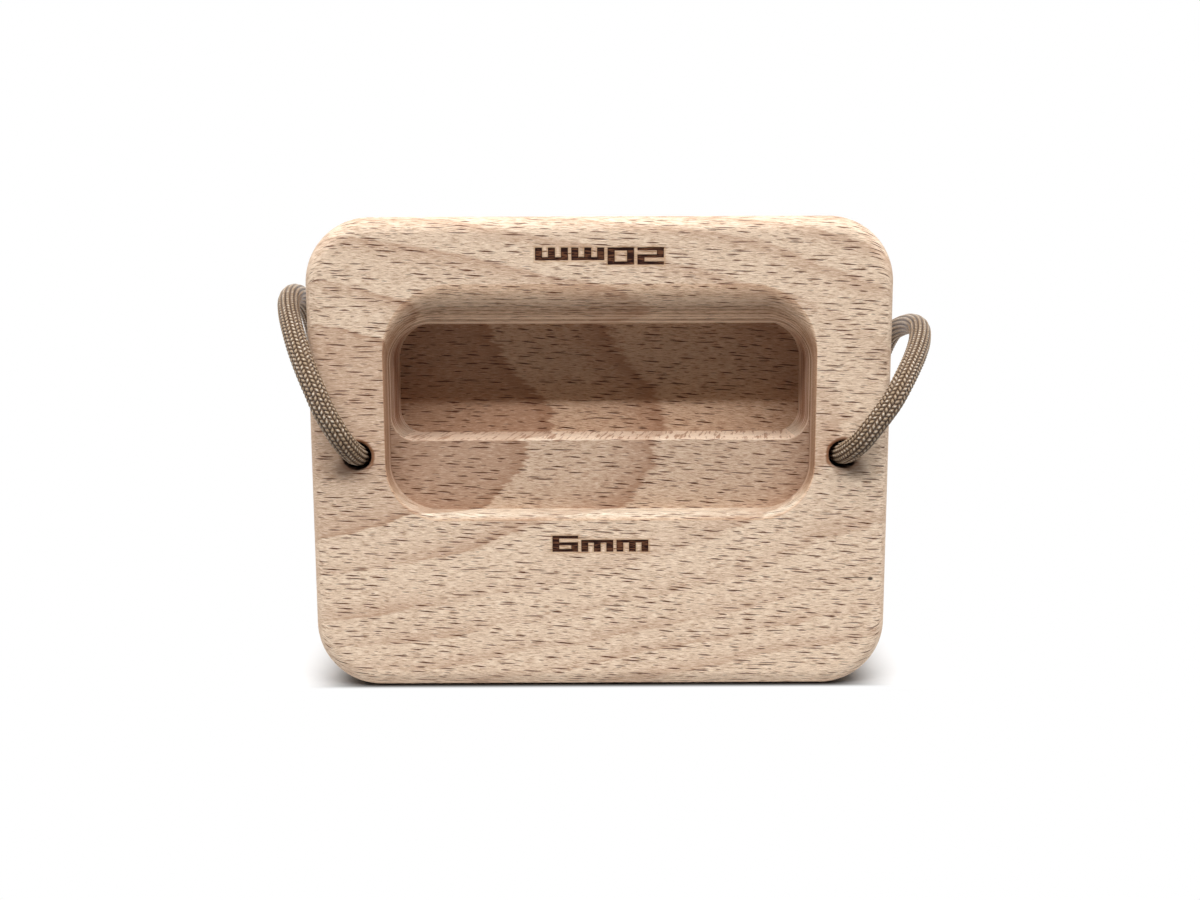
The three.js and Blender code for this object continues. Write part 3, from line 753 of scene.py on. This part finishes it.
def floor_white():
    """A white floor that keeps the object's shadow near its foot and is wholly white further out. Near the
    foot its own colour is darkened too, a painted shade. What it throws back on the object goes by how far
    ahead of the block it lies."""
    recipe = Recipe(bpy.data.materials.new("white_floor"))
    x, y, _ = recipe.split(recipe.node("ShaderNodeTexCoord", {}).outputs["Object"])
    past_foot = recipe.joined(beyond(recipe, x, FOOT_HALF_LENGTH), beyond(recipe, y, FOOT_HALF_WIDTH), 0)
    distance = recipe.length(past_foot)
    ahead = recipe.product(y, -1.0)
    away = recipe.math("MAXIMUM", recipe.ease(distance, *SHADE_FADE), recipe.ease(ahead, *SHADE_FRONT))
    # Painted shade: the floor's own colour darkens towards the block's foot
    shade = recipe.ease(distance, 0, PAINTED_FOOT_SHADE_SPREAD, PAINTED_FOOT_SHADE_LEVEL)
    lit = recipe.node("ShaderNodeBsdfDiffuse", {"Color": shade}).outputs[0]
    white = recipe.node("ShaderNodeEmission", {"Color": grey(1), "Strength": 1.0}).outputs[0]
    shown = recipe.node("ShaderNodeMixShader", {0: away, 1: lit, 2: white}).outputs[0]
    bounce = recipe.total(
        recipe.ease(ahead, *NEAR_START, FLOOR_BOUNCE, NEAR_BOUNCE),
        recipe.ease(ahead, *MIDDLE_START, 0.0, MIDDLE_BOUNCE - NEAR_BOUNCE),
        recipe.ease(ahead, *FAR_START, 0.0, FAR_BOUNCE - MIDDLE_BOUNCE),
    )
    plain = recipe.node("ShaderNodeBsdfDiffuse", {"Color": bounce}).outputs[0]
    mixed = recipe.node("ShaderNodeMixShader", {0: recipe.seen(), 1: plain, 2: shown}).outputs[0]
    recipe.node("ShaderNodeOutputMaterial", {"Surface": mixed})
    return recipe.owner


def strip_faces(rings, count, closed=True):
    """Quads between neighbouring rings, where point i of a ring has the number ring * count + i."""
    ring, i = np.meshgrid(np.arange(rings - 1), np.arange(count if closed else count - 1), indexing="ij")
    after = (i + 1) % count
    here, there = ring * count, (ring + 1) * count
    return np.stack([here + i, there + i, there + after, here + after]).reshape(4, -1).T


def piece_from(name, patches, material):
    """One closed mesh from patches, each a pair of points and faces. Points that fall together become one."""
    vertices = np.concatenate([points for points, _ in patches])
    starts = np.cumsum([0] + [len(points) for points, _ in patches[:-1]])
    faces = [face for (_, quads), start in zip(patches, starts) for face in (quads + start).tolist()]
    mesh = bpy.data.meshes.new(name)
    mesh.from_pydata(vertices, [], faces)
    edit = bmesh.new()
    edit.from_mesh(mesh)
    bmesh.ops.remove_doubles(edit, verts=edit.verts, dist=MERGE_REACH)
    bmesh.ops.dissolve_degenerate(edit, edges=edit.edges, dist=MERGE_REACH)
    bmesh.ops.recalc_face_normals(edit, faces=edit.faces)
    edit.to_mesh(mesh)
    edit.free()
    return link_piece(name, mesh, material)


def link_piece(name, mesh, material):
    mesh.polygons.foreach_set("use_smooth", np.ones(len(mesh.polygons), dtype=bool))
    mesh.materials.append(material)
    piece = bpy.data.objects.new(name, mesh)
    bpy.context.scene.collection.objects.link(piece)
    return piece


def vertices_of(mesh):
    flat = np.empty(len(mesh.vertices) * 3)
    mesh.vertices.foreach_get("co", flat)
    return flat.reshape(-1, 3)


def corner_outline(half, low, high, upper, lower):
    """Points (x, z) of a rectangle with quarter-ellipse corners, anticlockwise as seen from the front: each
    corner's centre plus (reach across * cos angle, reach up * sin angle). upper and lower are the reaches."""
    corners = [
        (half - lower[0], low + lower[1], lower, -math.pi / 2),
        (half - upper[0], high - upper[1], upper, 0),
        (upper[0] - half, high - upper[1], upper, math.pi / 2),
        (lower[0] - half, low + lower[1], lower, math.pi),
    ]
    turn = np.linspace(0, math.pi / 2, CORNER_STEPS + 1)
    return np.concatenate([
        np.column_stack([x + across * np.cos(start + turn), z + up * np.sin(start + turn)])
        for x, z, (across, up), start in corners
    ])


def circle(x, z, radius):
    turn = np.linspace(0, 2 * math.pi, HOLE_STEPS, endpoint=False)
    return np.column_stack([x + radius * np.cos(turn), z + radius * np.sin(turn)])


def ring(outline, depth):
    """An outline (x, z) as points at that depth behind the block's front."""
    return np.column_stack([outline[:, 0], np.broadcast_to(FRONT + depth, len(outline)), outline[:, 1]])


def stacked(rings):
    """A patch through rings of like count."""
    return np.concatenate(rings), strip_faces(len(rings), len(rings[0]))


def inside(points, loop):
    """Whether each point is in the loop, by the number of the loop's sides that a level line crosses."""
    x, z = points[:, :1], points[:, 1:]
    ax, az = loop.T
    bx, bz = np.roll(loop, -1, axis=0).T
    crosses = (az > z) != (bz > z)
    slope = (bx - ax) / np.where(bz == az, 1, bz - az)
    return (crosses & (x < ax + slope * (z - az))).sum(axis=1) % 2 == 1


def flat_face(outer, windows, y):
    """The flat face within outer and without its windows: all their points triangulated with the loops'
    sides kept, less the triangles whose middle lies in a window."""
    loops = [outer, *windows]
    points = np.concatenate(loops)
    edges = []
    for loop in loops:
        first = len(edges)
        number = np.arange(len(loop))
        edges += np.column_stack([first + number, first + (number + 1) % len(loop)]).tolist()
    found = delaunay_2d_cdt([Vector(point) for point in points], edges, [], 0, FLAT_REACH)
    places = np.array([tuple(point) for point in found[0]])
    triangles = np.array(found[2])
    middles = places[triangles].mean(axis=1)
    kept = ~np.any([inside(middles, window) for window in windows], axis=0)
    return np.column_stack([places[:, 0], np.full(len(places), y), places[:, 1]]), triangles[kept]


def stroke_boxes(figure):
    """The strokes of a block figure or letter as boxes (left, right, low, high) from its lower left
    corner."""
    width, height = (LETTER_WIDTH, LETTER_HEIGHT) if figure == "m" else (FIGURE_WIDTH, FIGURE_HEIGHT)
    middle = (height - BAR) / 2
    bars = {
        "low": (0, width, 0, BAR),
        "middle": (0, width, middle, middle + BAR),
        "high": (0, width, height - BAR, height),
        "left": (0, STEM, 0, height),
        "right": (width - STEM, width, 0, height),
        "upper_right": (width - STEM, width, middle, height),
        "lower_right": (width - STEM, width, 0, middle + BAR),
        "lower_left": (0, STEM, 0, middle + BAR),
        "centre": ((width - STEM) / 2, (width + STEM) / 2, 0, height),
    }
    strokes = {
        "0": ("low", "high", "left", "right"),
        "2": ("low", "middle", "high", "upper_right", "lower_left"),
        "6": ("low", "middle", "high", "left", "lower_right"),
        "m": ("high", "left", "centre", "right"),
    }
    return width, np.array([bars[stroke] for stroke in strokes[figure]])


def mark_boxes(figures, base, turned):
    """The strokes of a mark as boxes on the front, centred across the block. A turned mark stands on its
    head, with its base line uppermost."""
    boxes, x = [], 0.0
    for figure in figures:
        width, strokes = stroke_boxes(figure)
        boxes.append(strokes + [x, x, 0, 0])
        x += width + MARK_GAP
    boxes = np.concatenate(boxes)
    boxes[:, :2] -= (x - MARK_GAP) / 2
    if turned:
        boxes = -boxes[:, [1, 0, 3, 2]]
    boxes[:, 2:] += base
    return boxes


MARKS = [mark_boxes("20mm", DEEP_MARK_BASE, True), mark_boxes("6mm", SHALLOW_MARK_BASE, False)]


def mark_distance(x, z, boxes):
    """How far a place on the front lies outside the nearest stroke, negative inside it."""
    left, right, low, high = (boxes[:, i] for i in range(4))
    x, z = x[..., None], z[..., None]
    return np.maximum(np.maximum(left - x, x - right), np.maximum(low - z, z - high)).min(axis=-1)


def smooth(value, low=0.0, high=1.0):
    """A smooth step, 0 up to low and 1 from high on."""
    value = np.clip((value - low) / (high - low), 0, 1)
    return value * value * (3 - 2 * value)


def mark_patch(boxes):
    """A fine grid on the front round a mark, sunk by the burn within its strokes. Gives its outline too."""
    low_x, high_x = boxes[:, 0].min() - MARK_MARGIN, boxes[:, 1].max() + MARK_MARGIN
    low_z, high_z = boxes[:, 2].min() - MARK_MARGIN, boxes[:, 3].max() + MARK_MARGIN
    across = np.linspace(low_x, high_x, round((high_x - low_x) / MARK_GRID) + 1)
    up = np.linspace(low_z, high_z, round((high_z - low_z) / MARK_GRID) + 1)
    z, x = np.meshgrid(up, across, indexing="ij")
    depth = MARK_DEPTH * smooth(0.5 - mark_distance(x, z, boxes) / MARK_GRID)
    points = np.stack([x, FRONT + depth, z], axis=-1).reshape(-1, 3)
    faces = strip_faces(len(up), len(across), closed=False)
    loop = np.concatenate([
        np.column_stack([across[:-1], np.full(len(across) - 1, low_z)]),
        np.column_stack([np.full(len(up) - 1, high_x), up[:-1]]),
        np.column_stack([across[:0:-1], np.full(len(across) - 1, high_z)]),
        np.column_stack([np.full(len(up) - 1, low_x), up[:0:-1]]),
    ])
    return (points, faces), loop


def body_patch():
    """The block's rim: its outline drawn in by EDGE_ROUND * (1 - sin angle) at the depth
    EDGE_ROUND * (1 - cos angle) from the front, and the same from the back."""
    angle = np.linspace(0, math.pi / 2, ROUND_STEPS + 1)
    inset = EDGE_ROUND * (1 - np.sin(angle))
    depth = EDGE_ROUND * (1 - np.cos(angle))
    insets = np.concatenate([inset, inset[::-1]])
    depths = np.concatenate([depth, BACK - FRONT - depth[::-1]])
    rings = []
    for drawn_in, at in zip(insets, depths):
        reach = (CORNER_RADIUS - drawn_in,) * 2
        shape = corner_outline(RIGHT - drawn_in, FOOT + drawn_in, HEAD - drawn_in, reach, reach)
        rings.append(ring(shape, at))
    return stacked(rings), rings[0][:, [0, 2]]


def pocket_patch():
    """The pocket. Its lip is a quarter round from the mouth's outline to the wall's, whose radius is at each
    point the distance between the two. The floor steps in to the deep part, whose edge is broken."""
    upper, lower = (MOUTH_UPPER_CORNER,) * 2, (MOUTH_LOWER_CORNER,) * 2
    half, low, high = HALF_POCKET + SIDE_LIP, SHALLOW_SILL - SILL_LIP, CEILING + CEILING_LIP
    mouth = corner_outline(half, low, high, upper, lower)
    upper, lower = (CEILING_CORNER,) * 2, (SHALLOW_CORNER,) * 2
    wall = corner_outline(HALF_POCKET, SHALLOW_SILL, CEILING, upper, lower)

    def deep(grow):
        side = max(DEEP_SIDE_STEP - grow, 0)
        upper, lower = (CEILING_CORNER - side, CEILING_CORNER), (DEEP_CORNER + grow,) * 2
        return corner_outline(HALF_POCKET - side, DEEP_SILL - grow, CEILING, upper, lower)

    radius = np.linalg.norm(mouth - wall, axis=1)
    step_depth = np.maximum(radius, SHALLOW_DEPTH)
    lip = []
    for angle in np.linspace(0, math.pi / 2, LIP_STEPS + 1):
        lip.append(ring(wall + (mouth - wall) * (1 - math.sin(angle)), radius * (1 - math.cos(angle))))
    rings = [
        *lip,
        ring(wall, step_depth),
        ring(deep(SILL_BREAK), step_depth),
        ring(deep(0), step_depth + SILL_BREAK),
        ring(deep(0), DEEP_DEPTH),
    ]
    walls = stacked(rings)
    floor = rings[-1], np.arange(len(mouth))[None, :]
    return walls, floor, mouth


def hole_patch(x):
    """A cord hole: a bore whose mouths are rounded over by the same formula as the rim."""
    angle = np.linspace(0, math.pi / 2, HOLE_ROUND_STEPS + 1)
    radii = HOLE_RADIUS + HOLE_ROUND * (1 - np.sin(angle))
    depths = HOLE_ROUND * (1 - np.cos(angle))
    radii = np.concatenate([radii, radii[::-1]])
    depths = np.concatenate([depths, BACK - FRONT - depths[::-1]])
    rings = [ring(circle(x, HOLE_Z, radius), depth) for radius, depth in zip(radii, depths)]
    return stacked(rings), rings[0][:, [0, 2]]


def triples(items, name):
    flat = np.empty(len(items) * 3)
    items.foreach_get(name, flat)
    return flat.reshape(-1, 3)


def add_shares(mesh, name, domain, values):
    mesh.attributes.new(name, "FLOAT", domain).data.foreach_set("value", values.astype(np.float32))


def sort_faces(mesh):
    """Marks the pocket's walls with its lip, its sill, its floors and its ledge by where a face lies and how
    its corners are turned. end_grain is how far a corner of a face that isn't level with the front is turned
    to a side. turned is 1 where such a face looks up, -1 where it looks down, and the other way about on the
    rim of the back."""
    x, y, z = triples(mesh.polygons, "center").T
    facing = triples(mesh.polygons, "normal")
    within = (np.abs(x) < HALF_POCKET + SIDE_LIP) & (y < (FRONT + BACK) / 2 + DEEP_DEPTH / 2)
    within &= (z > SHALLOW_SILL - SILL_LIP) & (z < CEILING + CEILING_LIP)
    level = np.abs(facing[:, 1]) > LEVEL_FACING
    ledge = within & (facing[:, 2] > LEDGE_FACING) & (np.abs(z - DEEP_SILL) < DEEP_CORNER / 4)
    add_shares(mesh, "milled_floor", "FACE", within & level & (y > FRONT + SHALLOW_DEPTH / 2))
    add_shares(mesh, "cut_ledge", "FACE", ledge)
    back_rim = np.where(y > BACK - EDGE_ROUND, -1, 1)
    add_shares(mesh, "turned", "FACE", np.sign(facing[:, 2].round(2)) * back_rim * ~level)
    sizes = np.empty(len(mesh.polygons), dtype=np.int32)
    mesh.polygons.foreach_get("loop_total", sizes)
    corners = np.empty(len(mesh.loops), dtype=np.int32)
    mesh.loops.foreach_get("vertex_index", corners)
    sideways, _, upward = triples(mesh.vertex_normals, "vector")[corners].T
    sill = smooth(upward, *SILL_TURN)
    cut = np.repeat(within & ~level & ~ledge, sizes)
    add_shares(mesh, "cut_wall", "CORNER", cut * (1 - sill))
    add_shares(mesh, "cut_sill", "CORNER", cut * sill)
    add_shares(mesh, "end_grain", "CORNER", smooth(np.abs(sideways), *END_TURN) * ~np.repeat(level, sizes))


def add_block(material):
    """The whole block: rim, pocket, cord holes, burned marks, and the flat front and back between them."""
    rim, rim_loop = body_patch()
    walls, floor, mouth = pocket_patch()
    holes, hole_loops = zip(*(hole_patch(side * HOLE_X) for side in (-1, 1)))
    marks, mark_loops = zip(*(mark_patch(boxes) for boxes in MARKS))
    front = flat_face(rim_loop, [mouth, *hole_loops, *mark_loops], FRONT)
    back = flat_face(rim_loop, hole_loops, BACK)
    block = piece_from("beech_block", [rim, walls, floor, front, back, *holes, *marks], material)
    mesh = block.data
    x, y, z = vertices_of(mesh).T
    nearest = np.min([mark_distance(x, z, boxes) for boxes in MARKS], axis=0)
    burn = np.where(y < FRONT + 2 * MARK_DEPTH, np.clip(BURN_AT_EDGE - nearest / MARK_MARGIN, 0, 1), 0)
    add_shares(mesh, "burn", "POINT", burn)
    sort_faces(mesh)
    mesh.set_sharp_from_angle(angle=SHARP_ANGLE)
    weighted = block.modifiers.new("even_normals", "WEIGHTED_NORMAL")
    weighted.keep_sharp = True
    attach(block, "root")
    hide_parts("block")
    return block


def curve_through(places):
    """A centripetal Catmull-Rom curve through the places, in CURVE_STEPS steps between each two. The time
    between two places is the square root of their distance."""
    padded = np.concatenate([2 * places[:1] - places[1:2], places, 2 * places[-1:] - places[-2:-1]])
    gaps = np.sqrt(np.linalg.norm(np.diff(padded, axis=0), axis=1))[:, None]
    before, start, end, after = padded[:-3], padded[1:-2], padded[2:-1], padded[3:]
    d0, d1, d2 = gaps[:-2], gaps[1:-1], gaps[2:]
    leave = d1 * ((start - before) / d0 - (end - before) / (d0 + d1) + (end - start) / d1)
    arrive = d1 * ((end - start) / d1 - (after - start) / (d1 + d2) + (after - end) / d2)
    t = np.linspace(0, 1, CURVE_STEPS, endpoint=False)[None, :, None]
    square = -3 * start + 3 * end - 2 * leave - arrive
    cube = 2 * start - 2 * end + leave + arrive
    line = start[:, None] + t * leave[:, None] + t**2 * square[:, None] + t**3 * cube[:, None]
    return np.concatenate([line.reshape(-1, 3), places[-1:]])


def coil_line():
    """Spirals in on the floor, climbs a layer in the half turn where the spiral reverses, and out again:
    radius = outer radius - pitch * angle wound / (2 pi), height by a smooth step."""
    full = 4 * math.pi * COIL_TURNS_EACH_WAY
    angle = np.linspace(0, full, round(2 * COIL_TURNS_EACH_WAY * COIL_STEPS_PER_TURN) + 1)
    radius = COIL_RADIUS - STRAND_PITCH * np.minimum(angle, full - angle) / (2 * math.pi)
    climb = smooth((angle - full / 2) / math.pi + 0.5)
    return np.column_stack([-radius * np.cos(angle), COIL_CENTRE_Y + radius * np.sin(angle),
                            FLOOR_LAYER + STRAND_PITCH * climb])


def knot_line(side):
    """The cord in a hole and its overhand knot: twice round a ring while it weaves three times in and out
    (cos of three times the turn) and front to back (sin of the same)."""
    weave = STRAND_PITCH / 2
    rest = BACK + MEETING_GAP + CORD_RADIUS
    line_x = HOLE_X - KNOT_INSET
    ring_x = line_x - KNOT_RING_RADIUS - weave
    ring_z = HOLE_Z - KNOT_DROP
    bore = np.array([(HOLE_X, y, HOLE_Z) for y in (FRONT + CORD_DIAMETER + MEETING_GAP, 0, BACK)])
    entry = [HOLE_X, rest, HOLE_Z] + KNOT_ENTRY_SHARES * [-KNOT_INSET, weave, -KNOT_DROP]
    turn = np.linspace(KNOT_FIRST_TURN, KNOT_LAST_TURN, KNOT_POINTS + 1)
    radius = KNOT_RING_RADIUS + weave * np.cos(3 * turn)
    layer = np.where(turn < KNOT_FIRST_CREST, 1, np.sin(3 * turn))
    loops = np.column_stack([ring_x + radius * np.cos(2 * turn), rest + weave + weave * layer,
                             ring_z - radius * np.sin(2 * turn)])
    across, up = CORD_DIAMETER * KNOT_TAIL_SHARES.T
    tail = np.column_stack([line_x + across, np.full(len(across), rest), ring_z + up])
    return curve_through(np.concatenate([bore, entry, loops, tail]) * [side, 1, 1])


def measured(line):
    """The distance along the line at each of its points."""
    return np.concatenate([[0], np.cumsum(np.linalg.norm(np.diff(line, axis=0), axis=1))])


def at_stations(line, stations):
    """The line's places at the given distances along it."""
    distance = measured(line)
    return np.column_stack([np.interp(stations, distance, line[:, i]) for i in range(3)])


def square_to(along, first):
    """A direction square to each tangent, each the one before it less what of it lies along the path, so
    that the braid never twists."""
    carried = np.empty_like(along)
    direction = np.array(first, dtype=float)
    for i, tangent in enumerate(along):
        direction = direction - tangent * (direction @ tangent)
        direction /= np.linalg.norm(direction)
        carried[i] = direction
    return carried


def braid_steps(stations):
    """How many floats lie before each station: the sum of distance over pitch. The pitch is short where the
    cord leaves a hole and eases to its full length."""
    from_end = np.minimum(stations, stations[-1] - stations)
    eased = smooth(from_end / BRAID_TIGHT_LENGTH)
    pitch = BRAID_PITCH * (BRAID_TIGHT_SHARE + (1 - BRAID_TIGHT_SHARE) * eased)
    return np.concatenate([[0], np.cumsum(np.diff(stations) / pitch[1:])])


def braided_tube(name, line, stations, material, bends=()):
    """A tube along the line: radius = cord radius + relief * (float height - 0.5), on a grid of angle and
    distance, where float height = sqrt(sin(pi * share of the float's length) * sin(pi * share of its width)).
    Towards a bend the first sine rises to 1. Between wide stations the relief is left out. The UV map counts
    rows round the cord and floats along it."""
    centres = at_stations(line, stations)
    along = np.gradient(centres, stations, axis=0)
    along /= np.linalg.norm(along, axis=1, keepdims=True)
    across = square_to(along, FIRST_SPOKE)
    upward = np.cross(along, across)
    turn = np.linspace(0, 2 * math.pi, CORD_SIDES, endpoint=False)
    row = np.linspace(0, BRAID_ROWS, CORD_SIDES, endpoint=False)
    step = braid_steps(stations)
    other = np.floor(row) % 2
    width = row % 1
    phase = step[:, None] + other / 2 + BRAID_LEAN * (width - 0.5) * (1 - 2 * other)
    drawn = np.zeros(len(stations))
    for bend in bends:
        drawn += BRAID_DRAWN_SHARE * np.exp(-((stations - bend) / BRAID_DRAWN_REACH) ** 2)
    crown = np.maximum(np.sin(math.pi * (phase % 1)), drawn[:, None])
    height = np.sqrt(crown * np.sin(math.pi * width))
    fine = np.gradient(stations) < BRAID_PITCH / 2
    relief = BRAID_RELIEF * np.where(fine, 1, 0)[:, None] * (height - 0.5)
    spokes = np.cos(turn)[:, None] * across[:, None] + np.sin(turn)[:, None] * upward[:, None]
    shell = centres[:, None] + (CORD_RADIUS + relief)[..., None] * spokes
    ends = np.arange(CORD_SIDES)
    last = (len(stations) - 1) * CORD_SIDES + ends
    quads = strip_faces(len(stations), CORD_SIDES)
    mesh = bpy.data.meshes.new(name)
    mesh.from_pydata(shell.reshape(-1, 3), [], quads.tolist() + [ends.tolist(), last[::-1].tolist()])
    side = quads % CORD_SIDES
    side[:, 2:] = np.where(side[:, 2:] == 0, CORD_SIDES, side[:, 2:])
    uv = np.stack([side * BRAID_ROWS / CORD_SIDES, step[quads // CORD_SIDES]], axis=-1).reshape(-1)
    uv = np.concatenate([uv, np.zeros(4 * CORD_SIDES)])
    mesh.uv_layers.new(name="braid").data.foreach_set("uv", uv.astype(np.float32))
    add_shares(mesh, "drawn", "POINT", np.repeat(drawn, CORD_SIDES))
    mesh.validate()
    edit = bmesh.new()
    edit.from_mesh(mesh)
    bmesh.ops.recalc_face_normals(edit, faces=edit.faces)
    edit.to_mesh(mesh)
    edit.free()
    piece = link_piece(name, mesh, material)
    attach(piece, "root")
    return piece, centres


def add_cord(material):
    """The cord from hole to hole as one tube, finer where it shows, and the two stopper knots."""
    left = curve_through(LEFT_ROUTE)
    right = curve_through(RIGHT_ROUTE)[::-1]
    coil = coil_line()
    line = np.concatenate([left, coil, right])
    length = measured(line)[-1]
    stations = np.concatenate([
        np.arange(0, SEEN_LENGTH, FINE_STEP),
        np.arange(SEEN_LENGTH, length - SEEN_LENGTH, COARSE_STEP),
        np.arange(length - SEEN_LENGTH, length, FINE_STEP),
        [length],
    ])
    heights = at_stations(line, stations)[:, 2]
    half = len(stations) // 2
    bends = stations[[np.argmax(heights[:half]), half + np.argmax(heights[half:])]]
    cord, path = braided_tube("braided_cord", line, stations, material, bends)
    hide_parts("cord_left_lead", "cord_coil", "cord_right_lead")
    for side, word in ((-1, "left"), (1, "right")):
        knot_path = knot_line(side)
        length = measured(knot_path)[-1]
        stations = np.linspace(0, length, round(length / KNOT_STEP))
        knot, _ = braided_tube("stopper_knot_" + word, knot_path, stations, material)
        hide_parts("cord_" + word + "_stopper_knot")


def add_floor():
    """A wide flat sheet that the block stands on."""
    mesh = bpy.data.meshes.new("floor")
    corners = [(x * FLOOR_REACH, y * FLOOR_REACH, 0) for x, y in ((-1, -1), (1, -1), (1, 1), (-1, 1))]
    mesh.from_pydata(corners, [], [(0, 1, 2, 3)])
    floor = link_piece("floor", mesh, floor_white())


scene = bpy.context.scene
scene.view_settings.view_transform = "Standard"
add_camera()
add_cord(cord_sheath())
add_block(beech())
add_floor()
add_room()
add_lamp("strip_lamp", STRIP_RISE, STRIP_SIZE, STRIP_POWER)
add_lamp("softbox", SOFTBOX_RISE, SOFTBOX_SIZE, SOFTBOX_POWER)
